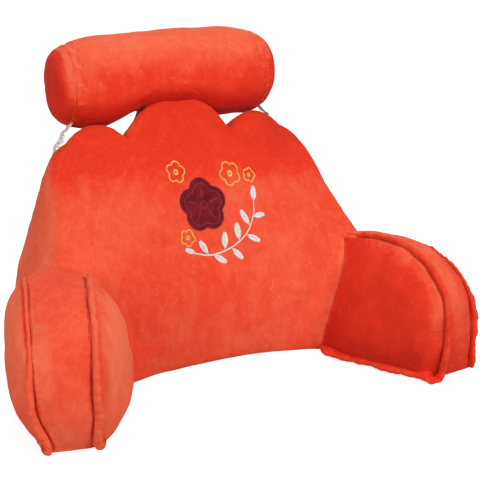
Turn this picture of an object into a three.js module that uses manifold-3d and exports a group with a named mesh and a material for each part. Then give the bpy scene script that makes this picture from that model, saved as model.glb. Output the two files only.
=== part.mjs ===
// A bed-rest cushion: a stuffed back with a three-lobed top, two stuffed arms and a neck roll on webbing.
// Millimetres, +Z up, the sitter faces -Y. The origin is on the floor, on the plane of symmetry.
import * as THREE from "three";
import { ConvexGeometry } from "three/addons/geometries/ConvexGeometry.js";
import { mergeVertices } from "three/addons/utils/BufferGeometryUtils.js";
import Module from "manifold-3d";

const wasm = await Module();
wasm.setup();

const GAP = 0.7; // how much a neighbour is grown before a piece is cut by it
const TIDY = 0.1; // how far a cut piece's surface may move when its sliver faces are merged

// Back cushion, seen from the front: x is across, z is up.
const LOBE = { top: 434, notchX: 100, notchZ: 373, sideZ: 393, shoulderX: 200, shoulderZ: 371, rearInset: 12 };
const LOBE_FULLNESS = { power: 2.3, spacing: 0.85 };
const SIDE = [
  { x: 200, z: 371 },
  { x: 222, z: 344 },
  { x: 244, z: 308 },
  { x: 264, z: 262 },
  { x: 283, z: 214 },
  { x: 304, z: 160 },
  { x: 314, z: 100 },
  { x: 313, z: 48 },
  { x: 300, z: 12 },
  { x: 280, z: 0 },
];
const BACK_FOOT = [230, 170, 110, 55]; // x of the underside's points
const BACK_CENTRE = { x: 0, z: 190 };
// Its faces: y at the foot, lean per mm of height, extra tilt at the top, forward wrap at the sides, swell;
// the front one is also drawn in at its waist.
const FRONT = { foot: -82, lean: 0.42, tilt: 18, wrap: 30, wrapAt: 180, wrapTop: 322, swell: 32, waist: 9 };
const REAR = { foot: 122, lean: 0.0, tilt: 10, wrap: 22, wrapAt: 300, wrapTop: 335, swell: 24 };
const BACK_BAND_SWELL = 11;

// Arm, in its own frame: s runs forward from the root, n outward, z up. The seams of its two side panels.
const ARM = { rootX: 282, rootY: -80, splay: 16, length: 240, centreS: 80, centreZ: 108 };
const ARM_SEAMS = [
  { s: -100, z: 30, outerS: -100, outerZ: 30 },
  { s: -104, z: 100, outerS: -104, outerZ: 92 },
  { s: -88, z: 158, outerS: -88, outerZ: 146 },
  { s: -46, z: 184, outerS: -46, outerZ: 172 },
  { s: 8, z: 196, outerS: 4, outerZ: 182 },
  { s: 66, z: 206, outerS: 62, outerZ: 186 },
  { s: 124, z: 209, outerS: 120, outerZ: 186 },
  { s: 168, z: 201, outerS: 164, outerZ: 175 },
  { s: 205, z: 181, outerS: 198, outerZ: 155 },
  { s: 230, z: 154, outerS: 220, outerZ: 127 },
  { s: 241, z: 122, outerS: 230, outerZ: 95 },
  { s: 243, z: 90, outerS: 231, outerZ: 66 },
  { s: 240, z: 56, outerS: 231, outerZ: 40 },
  { s: 233, z: 24, outerS: 232, outerZ: 16 },
  { s: 223, z: 0, outerS: 230, outerZ: 0 },
];
const ARM_FOOT = [190, 140, 90, 40, -10, -50, -86]; // s of the underside's points
const ARM_INNER = { tip: -42, flareTop: 205, tuck: 6, swell: 47 };
const ARM_OUTER = { root: 56, tip: 33, dive: 72 };
// The two arms are not stuffed alike: where the inner seam starts and how far it flares at the foot; how far
// the outer seam's tip is out, its top up and its foot in; how full the outer panel is.
const ARM_SIDES = {
  right: { seam: -12, flare: 92, out: 0, rise: 0, tuck: 0, swell: 45 },
  left: { seam: -42, flare: 50, out: 16, rise: 20, tuck: 23, swell: 38 },
};
const ARM_BAND_SWELL = 9;

// Raised seam round each side panel of an arm: a stuffed fold, narrow in section, slimmer over the top.
const FOLD = { root: 3, thick: 10, footFrom: -30, sides: 8 };
const SLIM_BETWEEN = { low: 95, high: 165 };
const INNER_FOLD = { from: 0, slim: 0.75, depth: 14, footDepth: 18 };
const OUTER_FOLD = { from: 14, slim: 0.45, depth: 11, footDepth: 14 };
const PUCKER = { slow: 2.1, fast: 4.7, slowBy: 0.1, fastBy: 0.05 }; // the fold's uneven fullness

// Neck roll, on an axis across; its profile is a superellipse.
const ROLL = { y: 177.5, z: 459, reach: 213, radius: 83, power: 3.9, sides: 36, rings: 7 };
// It rides up on the middle lobe and sags at its ends: how far, and between which places along it.
const ROLL_DENT = { rise: 24, front: 0.3, left: [50, 140], right: [20, 110] };
const ROLL_SAG = { fall: 8, left: [60, 140], right: [130, 175] };

// Webbing that carries the roll: a strap from each end down to the shoulder, through a slider, and one from
// beside the middle lobe down the rear face. Centre lines on the +X side.
const WEBBING = { width: 20, thick: 1.6 };
const END_STRAP = [
  [174, 156, 402],
  [183, 151, 393.5],
  [192.5, 149, 382.5],
];
const END_STRAP_TAIL = [
  [215.5, 147, 347.5],
  [219, 145, 337],
  [219, 142, 324],
];
const NOTCH_STRAP = [
  [43, 160, 406],
  [52, 155, 388],
  [63, 152, 372],
  [72, 150, 356],
  [77, 142, 338],
];
const SLIDER = { long: 26, wide: 26, thick: 2.4, rail: 3.5, bar: 4, slotWide: 21.2 };
const END_ACROSS = new THREE.Vector3(-0.1, 1, 0).normalize(); // the way the end strap's width lies
const WEAVE = { ends: 16, rail: 9, bar: 2.6, clear: 0.6 }; // the strap's turns, from the slider's middle

// Appliqué on the face: a blossom of round petals.
const BLOSSOM = { x: 4, z: 262, petals: 5, reach: 43, petal: 21, core: 20, thick: 1.2 };

const smooth = (a, b, x) => THREE.MathUtils.smoothstep(x, a, b);
const crown = (t, flat = 2.4, edge = 0.6) => Math.pow(Math.max(0, 1 - Math.pow(t, flat)), edge);

// ---------- shared form-making ----------

function solidOf(geometry) {
  const bare = geometry.clone();
  bare.deleteAttribute("normal");
  bare.deleteAttribute("uv");
  const merged = mergeVertices(bare, 1e-3);
  return new wasm.Manifold(
    new wasm.Mesh({
      numProp: 3,
      vertProperties: merged.attributes.position.array,
      triVerts: new Uint32Array(merged.index.array),
    }),
  );
}

// The largest body of a solid, as a geometry.
function geometryOf(solid) {
  const largest = solid.decompose().sort((a, b) => b.volume() - a.volume())[0];
  const mesh = largest.asOriginal().simplify(TIDY).getMesh();
  return new THREE.BufferGeometry()
    .setAttribute("position", new THREE.BufferAttribute(new Float32Array(mesh.vertProperties), 3))
    .setIndex(new THREE.BufferAttribute(new Uint32Array(mesh.triVerts), 1));
}

// A closed surface from rows of points, each row a closed loop, with a single point at both ends.
function closedRows(first, rows, last) {
  const n = rows[0].length;
  const points = [first, ...rows.flat(), last];
  const index = [];
  const at = (r, i) => 1 + r * n + (i % n);
  for (let i = 0; i < n; i++) {
    index.push(0, at(0, i), at(0, i + 1));
    for (let r = 0; r + 1 < rows.length; r++) {
      index.push(at(r, i), at(r + 1, i), at(r + 1, i + 1));
      index.push(at(r, i), at(r + 1, i + 1), at(r, i + 1));
    }
    index.push(at(rows.length - 1, i + 1), at(rows.length - 1, i), points.length - 1);
  }
  return new THREE.BufferGeometry().setFromPoints(points).setIndex(index);
}

// Points along a circular arc from a to b that rises by sagitta above the chord; b is left out.
function arcPoints(a, b, sagitta, count) {
  const half = a.distanceTo(b) / 2;
  const radius = (half * half + sagitta * sagitta) / (2 * sagitta);
  const along = new THREE.Vector2().subVectors(b, a).normalize();
  const rise = new THREE.Vector2(-along.y, along.x);
  return Array.from({ length: count }, (_, i) => {
    const angle = Math.asin(half / radius) * ((2 * i) / count - 1);
    return a
      .clone()
      .addScaledVector(along, half + radius * Math.sin(angle))
      .addScaledVector(rise, radius * Math.cos(angle) - radius + sagitta);
  });
}

// A smooth line through rows of named columns, as evenly spaced points.
function lineThrough(rows, first, second, count) {
  const curve = new THREE.CatmullRomCurve3(rows.map((r) => new THREE.Vector3(r[first], r[second], 0)));
  return curve.getSpacedPoints(count).map((p) => new THREE.Vector2(p.x, p.y));
}

// The outline with its lobes and corners averaged away, for the rings far from the seam.
function softened(outline, passes) {
  let points = outline;
  for (let pass = 0; pass < passes; pass++) {
    points = points.map((p, i) => {
      const before = points[(i + points.length - 1) % points.length];
      const after = points[(i + 1) % points.length];
      return new THREE.Vector2((before.x + 2 * p.x + after.x) / 4, (before.y + 2 * p.y + after.y) / 4);
    });
  }
  return points;
}

function outwardNormals(outline) {
  return outline.map((_, i) => {
    const before = outline[(i + outline.length - 1) % outline.length];
    const after = outline[(i + 1) % outline.length];
    return new THREE.Vector2(after.y - before.y, before.x - after.x).normalize();
  });
}

// A stuffed form: two crowned panels joined by a band. Each panel is { outline, height }: its seam, running
// counter-clockwise as seen from the near panel, and its third coordinate at (u, v) with t from 0 at the
// centre to 1 at the seam. place puts (u, v, w) in space.
function stuffed({ near, far, centre, bandSwell, place, rings, bandRows, softPasses, blendFrom, grow = 0 }) {
  const grown = (outline) => {
    const normals = outwardNormals(outline);
    return outline.map((p, i) => p.clone().addScaledVector(normals[i], grow));
  };
  const panel = ({ outline, height }, sign) => {
    const edge = grown(outline);
    const soft = softened(edge, softPasses);
    return Array.from({ length: rings }, (_, k) => {
      const t = Math.sin((Math.PI / 2) * ((k + 1) / rings));
      return edge.map((p, i) => {
        const q = soft[i].clone().lerp(p, smooth(blendFrom, 1, t)).sub(centre).multiplyScalar(t).add(centre);
        return place(q.x, q.y, height(q.x, q.y, t) + sign * grow);
      });
    });
  };
  const nearEdge = grown(near.outline);
  const farEdge = grown(far.outline);
  const normals = outwardNormals(near.outline);
  const band = Array.from({ length: bandRows - 1 }, (_, j) => {
    const k = (j + 1) / bandRows;
    return nearEdge.map((p, i) => {
      const q = farEdge[i];
      const w = THREE.MathUtils.lerp(near.height(p.x, p.y, 1) - grow, far.height(q.x, q.y, 1) + grow, k);
      const out = p.clone().lerp(q, k).addScaledVector(normals[i], 4 * k * (1 - k) * bandSwell(p.x, p.y));
      return place(out.x, Math.max(out.y, -grow), w);
    });
  });
  const rows = [...panel(near, -1), ...band, ...panel(far, 1).reverse()];
  const { x, y } = centre;
  return closedRows(place(x, y, near.height(x, y, 0) - grow), rows, place(x, y, far.height(x, y, 0) + grow));
}

// ---------- back cushion ----------

function backOutline() {
  const v = (x, z) => new THREE.Vector2(x, z);
  const notch = v(LOBE.notchX, LOBE.notchZ);
  const shoulder = v(LOBE.shoulderX, LOBE.shoulderZ);
  const middle = Array.from({ length: 7 }, (_, i) => {
    const across = (i / 7) ** LOBE_FULLNESS.spacing;
    const rise = (LOBE.top - LOBE.notchZ) * (1 - across ** LOBE_FULLNESS.power);
    return v(LOBE.notchX * across, LOBE.notchZ + rise);
  });
  const half = [
    ...middle,
    ...arcPoints(notch, shoulder, LOBE.sideZ - LOBE.shoulderZ, 7),
    ...lineThrough(SIDE, "x", "z", 18),
    ...BACK_FOOT.map((x) => v(x, 0)),
  ];
  const mirrored = half
    .slice(1)
    .reverse()
    .map((p) => v(-p.x, p.y));
  // half runs clockwise from the top centre, so the whole is turned round
  return [...half, v(0, 0), ...mirrored].reverse();
}

const wrap = (side, x, z) => side.wrap * (x / side.wrapAt) ** 2 * (1 - (z / side.wrapTop) ** 3);
const faceEdge = (side, x, z) =>
  side.foot + side.lean * z + side.tilt * smooth(200, 400, z) - wrap(side, x, z);

function inset(outline, depth) {
  const normals = outwardNormals(outline);
  return outline.map((p, i) => p.clone().addScaledVector(normals[i], -depth(p.y)));
}

function backGeometry(grow = 0) {
  const outline = backOutline();
  const front = inset(outline, (z) => FRONT.waist * (smooth(150, 200, z) - smooth(250, 320, z)));
  const rear = inset(outline, (z) => LOBE.rearInset * smooth(345, 395, z));
  return stuffed({
    near: { outline: front, height: (x, z, t) => faceEdge(FRONT, x, z) - FRONT.swell * crown(t) },
    far: { outline: rear, height: (x, z, t) => faceEdge(REAR, x, z) + REAR.swell * crown(t) },
    centre: new THREE.Vector2(BACK_CENTRE.x, BACK_CENTRE.z),
    bandSwell: (x, z) => BACK_BAND_SWELL * (smooth(2, 60, z) - smooth(330, 375, z)),
    place: (x, z, y) => new THREE.Vector3(x, y, z),
    rings: 8,
    bandRows: 4,
    softPasses: 40,
    blendFrom: 0.75,
    grow,
  });
}

const backGrown = solidOf(backGeometry(GAP));

// ---------- arms ----------

const splay = THREE.MathUtils.degToRad(ARM.splay);
const armForward = new THREE.Vector3(Math.sin(splay), -Math.cos(splay), 0);
const armOutward = new THREE.Vector3(Math.cos(splay), Math.sin(splay), 0);

function armPlace(s, z, n) {
  const root = new THREE.Vector3(ARM.rootX, ARM.rootY, z);
  return root.addScaledVector(armForward, s).addScaledVector(armOutward, n);
}

function armOutline(sColumn, zColumn, rise = 0) {
  const seam = lineThrough(ARM_SEAMS, sColumn, zColumn, 30);
  seam.forEach((p) => (p.y += rise * smooth(-100, -40, p.x) * (1 - smooth(60, 190, p.x))));
  return [...seam, ...ARM_FOOT.map((s) => new THREE.Vector2(s, 0))].reverse();
}

const forward = (s) => THREE.MathUtils.clamp(s / ARM.length, 0, 1);

// The seams of an arm's two side panels.
function sidePanels({ seam, flare, out, rise, tuck }) {
  const drawnIn = (s, z, top) => smooth(120, 230, s) * (1 - smooth(0, top, z));
  const innerEdge = (s, z) =>
    THREE.MathUtils.lerp(seam, ARM_INNER.tip, forward(s)) -
    flare * (1 - forward(s)) * Math.max(0, 1 - z / ARM_INNER.flareTop) +
    ARM_INNER.tuck * drawnIn(s, z, 60);
  const outerEdge = (s, z) =>
    THREE.MathUtils.lerp(ARM_OUTER.root, ARM_OUTER.tip + out, forward(s)) -
    ARM_OUTER.dive * (1 - smooth(-110, 20, s)) -
    tuck * drawnIn(s, z, 80);
  return {
    inner: { outline: armOutline("s", "z"), edge: innerEdge, outward: -1, fold: INNER_FOLD },
    outer: { outline: armOutline("outerS", "outerZ", rise), edge: outerEdge, outward: 1, fold: OUTER_FOLD },
  };
}

function armGeometry({ inner, outer }, fullness) {
  const innerSwell = (s, t) => ARM_INNER.swell * crown(t, 3.5) * (0.2 + 0.8 * smooth(-20, 90, s));
  const outerSwell = (s, t) => fullness * crown(t, 3) * smooth(-110, 60, s);
  return stuffed({
    near: { outline: inner.outline, height: (s, z, t) => inner.edge(s, z) - innerSwell(s, t) },
    far: { outline: outer.outline, height: (s, z, t) => outer.edge(s, z) + outerSwell(s, t) },
    centre: new THREE.Vector2(ARM.centreS, ARM.centreZ),
    bandSwell: (s, z) => ARM_BAND_SWELL * smooth(2, 50, z),
    place: armPlace,
    rings: 6,
    bandRows: 3,
    softPasses: 4,
    blendFrom: 0.55,
  });
}

// ---------- raised seams ----------

// The fold on one side panel's seam: over the top, down the front and back along the foot.
function foldSolid({ outline, edge, outward, fold }, grow = 0) {
  const normals = outwardNormals(outline);
  const route = outline
    .map((p, i) => ({ p, out: normals[i], n: edge(p.x, p.y) }))
    .filter(({ p }) => p.x > (p.y > 0 ? fold.from : FOLD.footFrom))
    .reverse();
  const sections = route.map(({ p, out, n }, i) => {
    const pucker = 1 + PUCKER.slowBy * Math.sin(i * PUCKER.slow) + PUCKER.fastBy * Math.sin(i * PUCKER.fast);
    const full = pucker * (1 - (1 - fold.slim) * smooth(SLIM_BETWEEN.low, SLIM_BETWEEN.high, p.y));
    const flat = smooth(0.2, 0.9, -out.y); // along the foot it lies flat
    const axis = new THREE.Vector3(out.x, out.y * (1 - flat), outward * (0.8 + 0.6 * flat)).normalize();
    const tangent = new THREE.Vector3(-out.y, out.x, 0);
    const thin = new THREE.Vector3().crossVectors(axis, tangent).normalize();
    const half = (full * THREE.MathUtils.lerp(fold.depth, fold.footDepth, flat) + FOLD.root) / 2;
    const thick = (full * FOLD.thick) / 2;
    const end = i === 0 ? 1 : i === route.length - 1 ? -1 : 0;
    return Array.from({ length: FOLD.sides }, (_, k) => {
      const angle = (2 * Math.PI * k) / FOLD.sides;
      const at = new THREE.Vector3(p.x, p.y + flat * thick, n)
        .addScaledVector(axis, half - FOLD.root + Math.cos(angle) * (half + grow))
        .addScaledVector(thin, Math.sin(angle) * (thick + grow))
        .addScaledVector(tangent, end * grow);
      return armPlace(at.x, Math.max(at.y, -2 * grow), at.z);
    });
  });
  const hull = (a, b) => solidOf(new ConvexGeometry([...a, ...b]));
  const links = sections.slice(1).map((section, i) => hull(sections[i], section));
  return links.reduce((all, link) => all.add(link));
}

function centreOf(row) {
  return row.reduce((sum, p) => sum.add(p), new THREE.Vector3()).divideScalar(row.length);
}

// ---------- neck roll ----------

// How far the roll's surface is pushed up, at x along it; up is 1 on its top and -1 underneath.
function pressed(x, up) {
  const onLobe = (1 - smooth(...ROLL_DENT.left, -x)) * (1 - smooth(...ROLL_DENT.right, x));
  const dent = Math.max(0, ROLL_DENT.front - up) / (1 + ROLL_DENT.front);
  const atEnd = Math.max(smooth(...ROLL_SAG.left, -x), smooth(...ROLL_SAG.right, x));
  return ROLL_DENT.rise * onLobe * dent ** 1.5 - ROLL_SAG.fall * atEnd * Math.max(0, -up) ** 2;
}

function rollGeometry(grow = 0) {
  const { y, z, reach, radius, power, sides, rings } = ROLL;
  const circle = (ring, side) => {
    const turn = (Math.PI / 2) * (ring / rings);
    const x = side * (reach * Math.cos(turn) ** (2 / power) + grow);
    const wide = Math.sin(turn) ** (2 / power);
    return Array.from({ length: sides }, (_, i) => {
      const angle = (2 * Math.PI * i) / sides;
      const out = new THREE.Vector3(0, Math.sin(angle), Math.cos(angle)).multiplyScalar(radius * wide + grow);
      return out.add(new THREE.Vector3(x, y, z + pressed(x, Math.cos(angle)) * wide));
    });
  };
  const half = Array.from({ length: rings - 1 }, (_, i) => i + 1);
  const left = half.map((ring) => circle(ring, -1));
  const right = half.map((ring) => circle(ring, 1)).reverse();
  const end = (side) => new THREE.Vector3(side * (reach + grow), y, z);
  return closedRows(end(-1), [...left, ...right], end(1));
}

const rollGrown = solidOf(rollGeometry(GAP));

// ---------- webbing and sliders ----------

const points3 = (rows) => rows.map(([x, y, z]) => new THREE.Vector3(x, y, z));

// A flat band along a line; its width lies along across.
function ribbon(line, across) {
  const rows = line.map((p, i) => {
    const before = line[Math.max(i - 1, 0)];
    const after = line[Math.min(i + 1, line.length - 1)];
    const along = after.clone().sub(before).normalize();
    const flat = across.clone().addScaledVector(along, -across.dot(along)).normalize();
    const up = new THREE.Vector3().crossVectors(flat, along);
    return [[1, 1], [-1, 1], [-1, -1], [1, -1]].map(([a, b]) =>
      p
        .clone()
        .addScaledVector(flat, (a * WEBBING.width) / 2)
        .addScaledVector(up, (b * WEBBING.thick) / 2),
    );
  });
  return closedRows(centreOf(rows[0]), rows, centreOf(rows.at(-1)));
}

// Where the slider sits on the end strap, and its directions.
function sliderFrame() {
  const top = new THREE.Vector3(...END_STRAP.at(-1));
  const foot = new THREE.Vector3(...END_STRAP_TAIL[0]);
  const along = foot.clone().sub(top).normalize();
  const across = END_ACROSS.clone().addScaledVector(along, -along.dot(END_ACROSS)).normalize();
  const up = new THREE.Vector3().crossVectors(across, along);
  return { centre: top.lerp(foot, 0.5), along, across, up };
}

// Under the slider's first rail, over its bar and under the far rail.
function endStrapLine() {
  const { centre, along, up } = sliderFrame();
  const clear = SLIDER.thick / 2 + WEBBING.thick / 2 + WEAVE.clear;
  const through = [
    [-WEAVE.ends, -1],
    [-WEAVE.rail, -1],
    [-WEAVE.bar, 1],
    [WEAVE.bar, 1],
    [WEAVE.rail, -1],
    [WEAVE.ends, -1],
  ].map(([a, b]) => centre.clone().addScaledVector(along, a).addScaledVector(up, b * clear));
  return [...points3(END_STRAP), ...through, ...points3(END_STRAP_TAIL)];
}

function sliderGeometry() {
  const { centre, along, across, up } = sliderFrame();
  const { long, wide, thick, rail, bar, slotWide } = SLIDER;
  const slot = (long - 2 * rail - bar) / 2;
  const block = (a, b, c, at) => solidOf(new THREE.BoxGeometry(a, b, c).translate(at, 0, 0));
  const offset = (bar + slot) / 2;
  const geometry = geometryOf(
    block(long, wide, thick, 0)
      .subtract(block(slot, slotWide, 3 * thick, offset))
      .subtract(block(slot, slotWide, 3 * thick, -offset)),
  );
  const placed = new THREE.Matrix4().makeBasis(along, across, up.clone().negate()).setPosition(centre);
  return geometry.applyMatrix4(placed);
}

// ---------- appliqué ----------

function blossomGeometry() {
  const { x, z, petals, reach, petal, core, thick } = BLOSSOM;
  const disc = (cx, cz, r) => solidOf(new THREE.CylinderGeometry(r, r, 400, 20).translate(cx, 0, cz));
  const shape = Array.from({ length: petals }, (_, i) => {
    const angle = (2 * Math.PI * i) / petals;
    const out = reach - petal;
    return disc(x + out * Math.sin(angle), z + out * Math.cos(angle), petal);
  }).reduce((all, one) => all.add(one), disc(x, z, core));
  return geometryOf(
    solidOf(backGeometry(GAP + thick))
      .subtract(backGrown)
      .intersect(shape),
  );
}

// ---------- assembly ----------

const fabric = (color) => new THREE.MeshStandardMaterial({ color, roughness: 0.95, metalness: 0 });
const plush = fabric(0xe8492c);
const maroon = fabric(0x6e1420);
const webbing = fabric(0xd3cdcb);
const plastic = new THREE.MeshStandardMaterial({ color: 0xe2dedb, roughness: 0.5, metalness: 0 });

function armPieces(side) {
  const { inner, outer } = sidePanels(side);
  const arm = solidOf(armGeometry({ inner, outer }, side.swell))
    .subtract(foldSolid(inner, GAP))
    .subtract(foldSolid(outer, GAP));
  return {
    arm: [arm, plush],
    arm_inner_seam: [foldSolid(inner), plush],
    arm_outer_seam: [foldSolid(outer), plush],
  };
}

const carriers = {
  end_strap: [solidOf(ribbon(endStrapLine(), sliderFrame().across)), webbing],
  notch_strap: [solidOf(ribbon(points3(NOTCH_STRAP), new THREE.Vector3(1, 0, 0))), webbing],
  slider: [solidOf(sliderGeometry()), plastic],
};

function add(name, geometry, material) {
  const mesh = new THREE.Mesh(geometry, material);
  mesh.name = name;
  part.add(mesh);
}

const part = new THREE.Group();
const cushionsGrown = backGrown.add(rollGrown);
add("back_cushion", backGeometry(), plush);
for (const [side, own] of Object.entries(ARM_SIDES)) {
  for (const [name, [solid, material]] of Object.entries({ ...armPieces(own), ...carriers })) {
    const placed = side === "left" ? solid.mirror([1, 0, 0]) : solid;
    add(`${side}_${name}`, geometryOf(placed.subtract(cushionsGrown)), material);
  }
}
add("neck_roll", geometryOf(solidOf(rollGeometry()).subtract(backGrown)), plush);
add("blossom_applique", blossomGeometry(), maroon);

export default part;
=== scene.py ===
# The looks of the bed-rest cushion: plush over stuffing, raised seams, webbing, sliders and embroidery.
# Sizes are in millimetres and become metres where a mesh is made. The seam lines are those of part.mjs.
import math

import bmesh
import bpy
import numpy as np
from mathutils import Matrix, Vector, noise
from mathutils.bvhtree import BVHTree
from mathutils.kdtree import KDTree


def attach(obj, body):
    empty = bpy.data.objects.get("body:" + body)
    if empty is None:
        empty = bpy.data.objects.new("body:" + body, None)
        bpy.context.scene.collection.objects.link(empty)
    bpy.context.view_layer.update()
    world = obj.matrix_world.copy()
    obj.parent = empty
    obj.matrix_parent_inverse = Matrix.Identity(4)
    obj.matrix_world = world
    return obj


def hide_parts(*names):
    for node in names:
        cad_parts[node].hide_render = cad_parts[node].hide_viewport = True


MM = 0.001

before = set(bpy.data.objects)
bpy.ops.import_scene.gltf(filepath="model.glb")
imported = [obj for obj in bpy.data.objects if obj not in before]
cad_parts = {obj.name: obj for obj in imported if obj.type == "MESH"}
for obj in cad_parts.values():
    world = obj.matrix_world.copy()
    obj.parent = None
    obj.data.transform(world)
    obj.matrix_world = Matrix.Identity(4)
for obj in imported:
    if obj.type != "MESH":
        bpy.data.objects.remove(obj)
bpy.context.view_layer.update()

# ---------- sizes shared with the solids ----------

LOBE = dict(top=434, notch_x=100, notch_z=373, side_z=393, shoulder_x=200, shoulder_z=371, rear_inset=12)
LOBE_FULLNESS = dict(power=2.3, spacing=0.85)
SIDE = [
    (200, 371), (222, 344), (244, 308), (264, 262), (283, 214),
    (304, 160), (314, 100), (313, 48), (300, 12), (280, 0),
]
BACK_CENTRE = (0, 190)
FRONT = dict(foot=-82, lean=0.42, tilt=18, wrap=30, wrap_at=180, wrap_top=322, swell=32, waist=9)
REAR = dict(foot=122, lean=0.0, tilt=10, wrap=22, wrap_at=300, wrap_top=335, swell=24)
BACK_BAND_SWELL = 11

ARM = dict(root_x=282, root_y=-80, splay=16, length=240, centre_s=80, centre_z=108)
ARM_SEAMS = [  # s and z on the inner side panel's seam, then on the outer one's
    (-100, 30, -100, 30),
    (-104, 100, -104, 92),
    (-88, 158, -88, 146),
    (-46, 184, -46, 172),
    (8, 196, 4, 182),
    (66, 206, 62, 186),
    (124, 209, 120, 186),
    (168, 201, 164, 175),
    (205, 181, 198, 155),
    (230, 154, 220, 127),
    (241, 122, 230, 95),
    (243, 90, 231, 66),
    (240, 56, 231, 40),
    (233, 24, 232, 16),
    (223, 0, 230, 0),
]
ARM_INNER = dict(tip=-42, flare_top=205, tuck=6, swell=47)
# The two arms are not stuffed alike: where the inner seam starts and how far it flares at the foot; how far
# the outer seam's tip is out, its top up and its foot in; how full the outer panel is.
ARM_SIDES = dict(
    right=dict(seam=-12, flare=92, out=0, rise=0, tuck=0, swell=45),
    left=dict(seam=-42, flare=50, out=16, rise=20, tuck=23, swell=38),
)
ARM_OUTER = dict(root=56, tip=33, dive=72)
ARM_BAND_SWELL = 9
# A fold's root in the arm, thickness and start at the foot; the step along it, its sides and the pitch of its
# gathers; the reach of the knob at its corner, the tapers at its ends, and the steps there without stitches.
FOLD = dict(
    root=3, thick=10, foot_start=-2, step=1.2, sides=28, pitch=15, knob=12, tapers=(18, 30), unstitched=12,
)
SLIM_BETWEEN = (95, 165)
FOLDS = dict(
    inner=dict(start=0, slim=0.75, depth=14, foot_depth=dict(right=31, left=15), knob=0.2, stitch=1),
    outer=dict(start=14, slim=0.5, depth=11, foot_depth=dict(right=14, left=14), knob=0.1, stitch=0.4),
)

ROLL = dict(y=177.5, z=459, reach=213, radius=83, power=3.9, seam_x=184, sides=200)
# The roll rides up on the middle lobe and sags at its ends: how far, and between which places along it.
ROLL_DENT = dict(rise=24, front=0.3, left=(50, 140), right=(20, 110))
ROLL_SAG = dict(fall=8, left=(60, 140), right=(130, 175))

END_STRAP = [(174, 156, 402), (183, 151, 393.5), (192.5, 149, 382.5)]
END_STRAP_TAIL = [(215.5, 147, 347.5), (219, 145, 337), (219, 142, 324)]
NOTCH_STRAP = [(43, 160, 406), (52, 155, 388), (63, 152, 372), (72, 150, 356), (77, 142, 338)]
WEBBING = dict(width=20, thick=1.4, rib=0.22, rib_pitch=2.2)
RIBBON = dict(sides=32, step=0.45)
# The webbing's way through a slider: how far along it, and below (-1) or above (1) its bars.
WEAVE = [(-16, -1), (-9, -1), (-2.6, 1), (2.6, 1), (9, -1), (16, -1)]
WEAVE_LIFT = 2.6
END_ACROSS = (-0.1, 1, 0)

SLIDER_EDGE = dict(weld=0.01, width=0.5, segments=3)

BLOSSOM = dict(x=4, z=262, petals=5, reach=43, petal=21, core=20, thick=1.2, off=0.4)
THREAD = dict(pitch=0.62, radius=0.36)
IN_FRONT_Y = -400

# Gaps left where one piece is cut clear of another, and what is held while the cloth settles: near a seam,
# near the floor, and behind this y on an arm.
GAP = dict(cushion=0.8, strap=0.35)
HELD = dict(seam=3, floor=2, arm_y=-110)
SETTLE_FRAMES = 12
STUFFING = dict(
    quality=5, mass=0.25, air_damping=3, tension_stiffness=12, compression_stiffness=12,
    shear_stiffness=6, bending_stiffness=0.4, use_pressure=True, uniform_pressure_force=2.5,
)
# Where an arm meets the back's face: heights, step, how near the face, the ridge of pile and the brushing.
CREASE = dict(low=10, high=186, step=5, near=2.2, slack=4, ridge=1.6, brushed=7, lift=0.2)
SEAM_RIDGE = dict(roll=1.2, back=0.5)
SEEDS = dict(arm=dict(right=11, left=21), fold=dict(right=0.7, left=3.6))
# Even tones of pieces: the folds' and creases' tones differ by side as painted light and shade, the right
# darker; and the tones of the roll's and back's seam ridges.
TONES_AND_LIGHT = dict(
    fold=dict(right=0.54, left=0.74), crease=dict(right=0.62, left=0.85), roll_seam=0.85, back_seam=0.68,
)


# ---------- small helpers ----------

def smooth(a, b, x):
    t = np.clip((np.asarray(x, float) - a) / (b - a), 0, 1)
    return t * t * (3 - 2 * t)


def lerp(a, b, t):
    return a + (b - a) * t


def crown(t, flat=2.4, edge=0.6):
    return np.maximum(0, 1 - np.asarray(t, float) ** flat) ** edge


def unit(v):
    return v / np.maximum(np.linalg.norm(v, axis=-1, keepdims=True), 1e-12)


def angles(count):
    """Evenly spaced angles round a circle."""
    return 2 * np.pi * np.arange(count) / count


def measured(line, closed=False):
    """A line's points, with the first once more where it is closed, and how far along it each lies."""
    points = np.vstack([line, line[:1]]) if closed else line
    return points, np.concatenate([[0], np.cumsum(np.linalg.norm(np.diff(points, axis=0), axis=1))])


def read_at(values, run, at):
    """Rows of values that lie at run along a line, read at other places along it."""
    return np.stack([np.interp(at, run, values[:, k]) for k in range(values.shape[1])], axis=1)


def resample(points, count):
    """count + 1 evenly spaced points on a line through points."""
    points = np.asarray(points, float)
    padded = np.vstack([2 * points[0] - points[1], points, 2 * points[-1] - points[-2]])
    dense = []
    for a, b, c, d in zip(padded, padded[1:], padded[2:], padded[3:]):
        t = np.linspace(0, 1, 40, endpoint=False)[:, None]
        dense.append(0.5 * (2 * b + (c - a) * t + (2 * a - 5 * b + 4 * c - d) * t**2
                            + (3 * b - a - 3 * c + d) * t**3))
    dense, run = measured(np.vstack([*dense, points[-1:]]))
    return read_at(dense, run, np.linspace(0, run[-1], count + 1))


def arc_points(a, b, sagitta, count):
    """Points on an arc from a to b that rises by sagitta above the chord; b is left out."""
    a, b = np.asarray(a, float), np.asarray(b, float)
    half = np.linalg.norm(b - a) / 2
    radius = (half * half + sagitta * sagitta) / (2 * sagitta)
    along = (b - a) / (2 * half)
    rise = np.array([-along[1], along[0]])
    angle = math.asin(half / radius) * (2 * np.arange(count) / count - 1)
    out = a + along * (half + radius * np.sin(angle))[:, None]
    return out + rise * (radius * np.cos(angle) - radius + sagitta)[:, None]


def softened(outline, passes):
    points = outline.copy()
    for _ in range(passes):
        points = (np.roll(points, 1, 0) + 2 * points + np.roll(points, -1, 0)) / 4
    return points


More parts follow.
